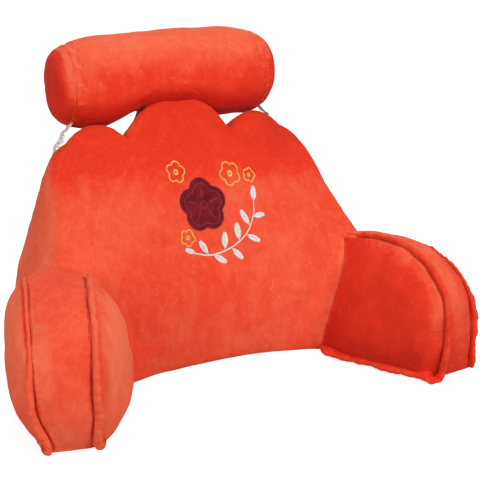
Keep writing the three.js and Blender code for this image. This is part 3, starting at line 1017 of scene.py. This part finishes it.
def fold(name, outline, edge, out_sign, shape, foot_depth, seed):
    """A puckered, stuffed fold along a panel's seam, drawn into its stitches; and the line of those."""
    places, axis, flat = fold_route(outline, edge, out_sign, shape["start"])
    run = measured(places)[1]
    at = np.linspace(0, run[-1], int(run[-1] / FOLD["step"]))
    places, axis = eased(read_at(places, run, at), 14), eased(read_at(axis, run, at), 30)
    flat = np.interp(at, run, flat)
    tangent = tangents_of(places)
    axis = unit(axis - tangent * (axis * tangent).sum(1, keepdims=True))
    across = unit(np.cross(axis, tangent))
    across *= -out_sign * np.sign(np.median(across[:, 2]))
    corner = at[np.argmax(np.abs(np.gradient(flat)))]
    full = 1 + shape["knob"] * np.exp(-(((at - corner) / FOLD["knob"]) ** 2))
    full *= 1 - (1 - shape["slim"]) * smooth(*SLIM_BETWEEN, places[:, 1])
    first, last = FOLD["tapers"]
    full = (full * (0.3 + 0.7 * smooth(0, first, at) * smooth(0, last, run[-1] - at)))[:, None]
    angle = angles(FOLD["sides"])
    c = (1 - np.cos(angle)) / 2
    wave = gather_wave(at, FOLD["pitch"], seed)[:, None]
    deep = lerp(shape["depth"], foot_depth, flat)[:, None] * full + FOLD["root"]
    deep = deep * (1 + 0.24 * wander(at, 24, seed * 3.1))
    along_axis = -FOLD["root"] + deep * c + (wave - 0.5) * 1.6 * c + 1.2 * wander(at, 6, seed * 4.7) * c
    half = FOLD["thick"] / 2 * full * (1.3 + 0.35 * wander(at, 15, seed * 7.7) + 0.3 * flat[:, None])
    band_side = (np.sin(angle) > 0)[None, :]
    crease = (1 - wave) * np.exp(-c / 0.45) * np.where(band_side, 0.5, 0.35)
    wide = half * np.sin(angle) * (0.5 + 0.5 * smooth(0, 0.6, c)) * (1 - crease)
    wide = wide + 3.4 * wander(at, 23, seed * 5.3) * c * full
    places[:, 1] += flat * FOLD["thick"] * 0.75
    rings = places[:, None] + axis[:, None] * along_axis[..., None] + across[:, None] * wide[..., None]
    rings[..., 1] = np.maximum(rings[..., 1], 0)
    ends = [rings[0].mean(0, keepdims=True), rings[-1].mean(0, keepdims=True)]
    points = np.vstack([ends[0], rings.reshape(-1, 3), ends[1]])
    skip = FOLD["unstitched"]
    root = arm_place(*(places + axis + across * FOLD["thick"] * 0.55)[skip:-skip].T)
    obj = make_object(name, arm_place(*points.T), outward_faces(len(angle), len(rings), out_sign))
    return obj, root


def shaded_seam_stitches(name, line, arm, size, seed):
    """A dark, uneven row of stitches pressed into the arm beside a fold; their dark red is partly painted
    shade in the seam's groove.
    """
    surface = tree_of(arm)
    found = [surface.find_nearest(Vector(p)) for p in line]
    on_arm = eased(np.array([f[0] for f in found]), 3)
    normal = unit(eased(np.array([f[1] for f in found]), 3))
    at = measured(on_arm)[1]
    tangent = tangents_of(on_arm)
    across = unit(np.cross(tangent, normal))
    ragged = size * (0.6 + 0.9 * np.abs(wander(at, 3.4, seed)) + 0.7 * wander(at, 19, seed + 5))
    on_arm = on_arm + across * 1.6 * wander(at, 5.1, seed + 9) + normal * 0.1
    on_arm[:, 2] = np.maximum(on_arm[:, 2], 1.5)
    angle = angles(7)
    sections = np.stack([1.1 * ragged * np.cos(angle), 0.7 * ragged * np.sin(angle)], axis=2)
    return sweep(name, on_arm, across, unit(np.cross(across, tangent)), sections)


def outward_faces(sides, count, out_sign):
    faces = loop_faces(sides, count)
    return [f[::-1] for f in faces] if out_sign < 0 else faces


# ---------- webbing ----------

def end_strap_path():
    """Down from the roll and under, over and under the slider's bars; and the way of its width."""
    top, foot = np.array(END_STRAP[-1], float), np.array(END_STRAP_TAIL[0], float)
    along = unit(foot - top)
    across = unit(np.array(END_ACROSS) - (along @ END_ACROSS) * along)
    up = np.cross(across, along)
    woven = [(top + foot) / 2 + along * a + up * b * WEAVE_LIFT for a, b in WEAVE]
    return np.vstack([END_STRAP, woven, END_STRAP_TAIL]), across


def ribbon(name, line, across):
    """A flat ribbed band along a line; its width lies along across."""
    centres = resample(line, int(measured(line)[1][-1] / RIBBON["step"]))
    tangent = tangents_of(eased(centres.copy(), 6))
    flat = unit(across - tangent * (tangent @ across)[:, None])
    up = np.cross(flat, tangent)
    angle = angles(RIBBON["sides"])
    a = WEBBING["width"] / 2 * np.sign(np.cos(angle)) * np.abs(np.cos(angle)) ** 0.8
    side = np.sign(np.sin(angle)) * np.abs(np.sin(angle)) ** 0.35
    at = RIBBON["step"] * np.arange(len(centres))[:, None]
    selvedge = 1 + 0.25 * np.exp(-(((WEBBING["width"] / 2 - np.abs(a)) / 1.2) ** 2))
    rib = WEBBING["rib"] * np.sin(2 * np.pi * at / WEBBING["rib_pitch"]) * np.abs(side)
    thick = (WEBBING["thick"] / 2 - WEBBING["rib"] / 2) * selvedge + rib / 2
    wide = np.broadcast_to(a, thick.shape) + 0.12 * wander(at[:, 0], 4, 1.7)
    sections = np.stack([wide, side * thick], axis=2)
    return sweep(name, centres, flat, up, sections)


def make_strap(name, line, across, side, ends):
    """A strap between the cushions at its ends, and its flat length."""
    obj = ribbon(name, np.asarray(line, float), np.asarray(across, float))
    if side == "left":
        mirror(obj)
    for cushion in ends:
        cut_by(obj, cushion, GAP["strap"])
    area = sum(polygon.area for polygon in obj.data.polygons) / MM ** 2
    return obj, area / 2 / (WEBBING["width"] + WEBBING["thick"])


# ---------- appliqué and embroidery on the face ----------

def in_front(tree, x, z):
    """The first surface met from the front at each x and z, and its outward normal."""
    starts = [Vector((a, IN_FRONT_Y, b)) for a, b in zip(np.ravel(x), np.ravel(z))]
    hits = [tree.ray_cast(start, Vector((0, 1, 0))) for start in starts]
    shape = np.shape(x) + (3,)
    return np.array([h[0] for h in hits]).reshape(shape), np.array([h[1] for h in hits]).reshape(shape)


def blossom_edge(angle):
    """How far the blossom's edge lies from its middle at an angle from upright."""
    petals = BLOSSOM["petals"]
    edge = np.full(len(angle), float(BLOSSOM["core"]))
    out = BLOSSOM["reach"] - BLOSSOM["petal"]
    for number in range(petals):
        off = angle - 2 * np.pi * number / petals
        inside = BLOSSOM["petal"] ** 2 - (out * np.sin(off)) ** 2
        reach = out * np.cos(off) + np.sqrt(np.maximum(inside, 0))
        edge = np.maximum(edge, np.where((inside > 0) & (np.cos(off) > 0), reach, 0))
    return edge


def make_blossom(tree):
    """A felt patch that follows the face, with a rounded cut edge."""
    angle = angles(240)
    edge = softened(np.stack([blossom_edge(angle), angle], axis=1), 2)[:, 0]
    x = lambda r: BLOSSOM["x"] + r * edge * np.sin(angle)
    z = lambda r: BLOSSOM["z"] + r * edge * np.cos(angle)
    spread = [*np.linspace(0.06, 0.94, 16), 0.965, 0.985]
    profile = [(r, 1.0) for r in spread] + [(0.996, 0.85), (1.0, 0.5), (0.996, 0.15)]
    profile += [(r, 0.0) for r in spread[::-1]]
    rows = []
    for r, level in profile:
        place, normal = in_front(tree, x(r), z(r))
        rows.append(place + normal * (BLOSSOM["off"] + BLOSSOM["thick"] * level))
    middle, normal = in_front(tree, np.array([BLOSSOM["x"]]), np.array([BLOSSOM["z"]]))
    ends = [middle + normal * (BLOSSOM["off"] + BLOSSOM["thick"] * level) for level in (1, 0)]
    faces = loop_faces(len(angle), len(rows))
    return make_object("blossom", np.vstack([ends[0], *rows, ends[1]]), faces)


def stitches(name, tree, spans, lift=0.9):
    """Threads over spans, pairs of (x, z) places on the face, raised at the middle and sunk at the ends."""
    spans = np.asarray(spans, float)
    t = np.array([0, 0.07, 0.2, 0.4, 0.6, 0.8, 0.93, 1])
    flat = spans[:, :1] + (spans[:, 1:] - spans[:, :1]) * t[:, None]
    place, normal = in_front(tree, flat[..., 0], flat[..., 1])
    normal = unit(normal + normal.mean(axis=1, keepdims=True))
    rise = (lift + 0.6) * (1 - np.abs(2 * t - 1) ** 3) - 0.6
    centres = place + normal * rise[:, None]
    tangent = unit(np.gradient(centres, axis=1))
    across = unit(np.cross(tangent, normal))
    up = np.cross(across, tangent)
    angle = angles(6)
    taper = np.array([0.5, 0.9, 1, 1, 1, 1, 0.9, 0.5])[:, None, None] * THREAD["radius"]
    rings = (centres[:, :, None] + across[:, :, None] * np.cos(angle)[:, None] * taper
             + up[:, :, None] * np.sin(angle)[:, None] * taper * 0.8)
    count, size = len(spans), 2 + len(t) * len(angle)
    points = np.concatenate([centres[:, :1], rings.reshape(count, -1, 3), centres[:, -1:]], axis=1)
    one = loop_faces(len(angle), len(t))
    faces = [tuple(v + k * size for v in face) for k in range(count) for face in one]
    return make_object(name, points.reshape(-1, 3), faces)


def satin(line, half_width, slant=0.5, closed=False):
    """Spans side by side across a line of (x, z) places; half_width takes a share of its length."""
    path, run = measured(np.asarray(line, float), closed)
    centres = resample(path, int(run[-1] / THREAD["pitch"]))
    tangent = tangents_of(centres)
    side = np.stack([-tangent[:, 1], tangent[:, 0]], axis=1)
    share = np.linspace(0, 1, len(centres))
    reach = half_width(share)[:, None] * (side + slant * tangent)
    return np.stack([centres - reach, centres + reach], axis=1)


def leaf(x, z, turn, length, width):
    """A satin leaf from (x, z), turned clockwise from upright, as the spans of its two halves."""
    turn = math.radians(turn)
    ahead = np.array([math.sin(turn), math.cos(turn)])
    aside = np.array([ahead[1], -ahead[0]])
    share = np.linspace(0.02, 1, int(length / THREAD["pitch"]))
    swell = width / 2 * np.sin(np.pi * share ** 0.8) ** 0.75
    rib = np.array([x, z]) + ahead * (share * length)[:, None]
    tip = np.minimum(share + 0.16, 1)[:, None] * length
    spans = []
    for sign in (1, -1):
        rim = np.array([x, z]) + ahead * tip + aside * sign * swell[:, None]
        spans.append(np.stack([rib - aside * sign * 0.15, rim], axis=1)[swell > 0.8])
    return np.vstack(spans)


def rosette(x, z, radius, petals=5, depth=0.2, turn=0.0):
    """A closed wavy line round a flower, as (x, z) places."""
    angle = np.linspace(0, 2 * np.pi, 60, endpoint=False)
    reach = radius * (1 - depth + depth * np.abs(np.cos(petals * (angle - turn) / 2)) ** 0.8 * 1.6)
    return np.stack([x + reach * np.sin(angle), z + reach * np.cos(angle)], axis=1)


def ring_of(x, z, radius):
    angle = np.linspace(0, 2 * np.pi, 20, endpoint=False)
    return np.stack([x + radius * np.sin(angle), z + radius * np.cos(angle)], axis=1)


SPRIG_STEM = [(-26, 187), (4, 181), (40, 188), (72, 208), (92, 236), (99, 258)]
SPRIG_LEAVES = [  # x, z, turn, length, width
    (-24, 187, -64, 22, 9),
    (-2, 182, -28, 28, 11),
    (6, 181, 122, 27, 11),
    (30, 186, 8, 30, 12),
    (42, 189, 138, 27, 11),
    (58, 198, 2, 30, 12),
    (72, 208, 118, 27, 11),
    (82, 221, -22, 28, 11),
    (91, 235, 84, 22, 10),
    (99, 257, 12, 26, 11),
]
FLOWERS = [  # x, z, radius, turn
    (-34, 318, 15, 0.2),
    (66, 306, 17, 0.9),
    (102, 300, 10, 0.4),
    (-36, 214, 12, 0.6),
]


def make_embroidery(back, felt_patch, whole):
    """The patch's satin edge and veins, the sprig and the flowers."""
    on_face = tree_of(back)
    on_patch = tree_of(felt_patch)
    steady = lambda width: lambda share: np.full(len(share), width)
    angle = np.linspace(0, 2 * np.pi, 120, endpoint=False)
    edge = softened(np.stack([blossom_edge(angle), angle], axis=1), 1)[:, 0]
    ring = lambda r: np.stack([BLOSSOM["x"] + (edge + r) * np.sin(angle),
                               BLOSSOM["z"] + (edge + r) * np.cos(angle)], axis=1)
    border = satin(ring(-0.4), steady(1.5), 0.15, closed=True)
    inner = satin(ring(-8), steady(0.8), 0.4, closed=True)
    middle = np.array([BLOSSOM["x"], BLOSSOM["z"]])
    veins = []
    for turn in angles(BLOSSOM["petals"]):
        out = np.array([math.sin(turn), math.cos(turn)])
        vein = [middle + out * r for r in (12, 18, 24, 30)]
        veins.append(satin(vein, lambda share: 1.3 * (1 - 0.6 * share)))
    heart = satin(ring_of(BLOSSOM["x"], BLOSSOM["z"], 6), steady(1.6), 0.2, closed=True)
    stem = satin(SPRIG_STEM, lambda share: 1.5 - 0.5 * share, 0.9)
    leaves = [leaf(*row) for row in SPRIG_LEAVES]
    flowers = []
    for x, z, radius, turn in FLOWERS:
        flowers.append(satin(rosette(x, z, radius, turn=turn), steady(1.3), 0.3, closed=True))
        flowers.append(satin(ring_of(x, z, radius * 0.22), steady(radius * 0.13), 0.2, closed=True))
    return [
        (stitches("blossom_edge", whole, border, 0.7), "ruby"),
        (stitches("blossom_veins", on_patch, np.vstack([inner, heart, *veins])), "rose"),
        (stitches("sprig", on_face, np.vstack([stem, *leaves]), 1.5), "ivory"),
        (stitches("flowers", on_face, np.vstack(flowers), 1.2), "honey"),
    ]


# ---------- pile standing along a seam ----------

def pile_ridge(name, line, size, seed, closed=False):
    """A thin uneven ridge of pile along a seam line in space."""
    ends, run = measured(line, closed)
    at = np.linspace(0, run[-1], int(run[-1] / 1.1))
    centres = read_at(ends, run, at)
    tangent = tangents_of(eased(centres, 3))
    across = unit(np.cross(tangent, [0.31, 0.17, 0.93]))
    up = np.cross(across, tangent)
    tufted = 0.55 + 0.45 * np.abs(wander(at, 2.3, seed)) * 2 + 0.5 * np.maximum(0, wander(at, 9, seed + 3))
    radius = size * tufted * (0.35 + 0.65 * smooth(-0.35, 0.1, wander(at, 26, seed + 7)))
    sway = [wander(at, 3.1, seed + 11) * size * 0.7, wander(at, 2.7, seed + 13) * size * 0.7]
    angle = angles(7)
    sections = np.stack([radius * np.cos(angle) + sway[0], radius * np.sin(angle) + sway[1]], axis=2)
    return sweep(name, centres, across, up, sections)


def crease_line(arm, surface):
    """Where an arm's inner panel meets the back's face."""
    low, high, slack = CREASE["low"], CREASE["high"], CREASE["slack"]
    points = points_of(arm)
    points = points[(points[:, 2] > low - slack) & (points[:, 2] < high + slack)]
    points = points[[surface.find_nearest(Vector(p))[3] < CREASE["near"] for p in points]]
    levels = np.arange(low, high, CREASE["step"])
    rows = [points[np.abs(points[:, 2] - level) < slack] for level in levels]
    line = np.array([row[np.argmin(np.abs(row[:, 0]))] for row in rows if len(row)])
    return eased(line, 4)


# ---------- assembly ----------

cloth = plush()
back, back_seams = make_back()
dress(back, "back", cloth, 0.8, back_nap_and_light, "back_cushion")

# The arms' tones, part pile and part painted light and shade: painted shade on the right arm, its inner panel
# darkest, and painted light on the left arm.
ARM_TONES_AND_LIGHT = dict(
    right=arm_nap_and_light(inner=(0.19, 0.42), outer=(0.45, 0.55), band=(0.46, 0.74)),
    left=arm_nap_and_light(inner=(0.76, 0.88), outer=(0.68, 0.88), band=(0.8, 0.64)),
)
arms = {}
for side in ("right", "left"):
    arms[side] = arm = make_arm(side, back)
    dress(arm, side + "_stuffed_arm", cloth, 0.8, ARM_TONES_AND_LIGHT[side], side + "_arm")

roll, roll_seams = make_roll(back)
dress(roll, "roll", cloth, 0.85, roll_nap_and_light, "neck_roll")

seam_thread_and_shade = thread("seam thread and shade", SEAM_THREAD_AND_SHADE)
for side, seed in SEEDS["fold"].items():
    sign = -1 if side == "left" else 1
    for panel, outline, edge, out_sign in (
        ("inner", arm_outline((0, 1), 8), inner_edge(side), -1),
        ("outer", arm_outline((2, 3), 8, ARM_SIDES[side]["rise"]), outer_edge(side), 1),
    ):
        shape = FOLDS[panel]
        name = f"{side}_{panel}_fold"
        piece, root = fold(name, outline, edge, out_sign, shape, shape["foot_depth"][side], seed + out_sign)
        if side == "left":
            mirror(piece)
        dress(piece, name, cloth, 0.9, even_tone(TONES_AND_LIGHT["fold"][side]), f"{side}_arm_{panel}_seam")
        root = root * [sign, 1, 1]
        line = shaded_seam_stitches(f"{side}_{panel}_stitches", root, arms[side], shape["stitch"], seed)
        line.data.materials.append(seam_thread_and_shade)
        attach(line, "root")

for number, seam in enumerate(roll_seams):
    ridge = pile_ridge(f"roll_seam_{number}", seam, SEAM_RIDGE["roll"], 3.3 + number, closed=True)
    dress(ridge, ridge.name, cloth, None, even_tone(TONES_AND_LIGHT["roll_seam"]))
for side, tone in TONES_AND_LIGHT["crease"].items():
    line = crease_line(arms[side], tree_of(back))
    ridge = pile_ridge(side + "_crease", line, CREASE["ridge"], 5.9)
    dress(ridge, ridge.name, cloth, None, even_tone(tone))
    for piece in (arms[side], back):
        brush_along(piece, line, CREASE["brushed"], CREASE["lift"])
for name, seam in zip(("front", "rear"), back_seams):
    seam = np.roll(seam, -np.argmin(seam[:, 2] + abs(seam[:, 0])), axis=0)
    ridge = pile_ridge(f"back_{name}_seam", seam[seam[:, 2] > 12], SEAM_RIDGE["back"], 8.1)
    dress(ridge, ridge.name, cloth, None, even_tone(TONES_AND_LIGHT["back_seam"]))

tape, plastic = webbing(), slider_plastic()
for side in ("right", "left"):
    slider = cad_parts[f"{side}_slider"]
    slider.data.materials.clear()
    slider.data.materials.append(plastic)
    welded = slider.modifiers.new("welded", "WELD")
    welded.merge_threshold = SLIDER_EDGE["weld"] * MM
    rounded = slider.modifiers.new("rounded", "BEVEL")
    rounded.width = SLIDER_EDGE["width"] * MM
    rounded.segments = SLIDER_EDGE["segments"]
    rounded.limit_method = "ANGLE"
    for kind, line, across in (
        ("end", *end_strap_path()),
        ("notch", NOTCH_STRAP, (1, 0, 0)),
    ):
        strap, length = make_strap(f"{side}_{kind}_ribbon", line, across, side, (roll, back))
        strap.data.materials.clear()
        strap.data.materials.append(tape)
        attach(strap, "root")
        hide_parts(f"{side}_{kind}_strap")

face = tree_of(back)
patch = make_blossom(face)
patch.data.materials.append(felt(FELT))
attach(patch, "root")
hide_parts("blossom_applique")

threads = {name: thread(name + " thread", colour) for name, colour in THREADS.items()}
embroidery = make_embroidery(back, patch, tree_of(back, patch))
for piece, colour in embroidery:
    piece.data.materials.append(threads[colour])
    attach(piece, "root")

stage()
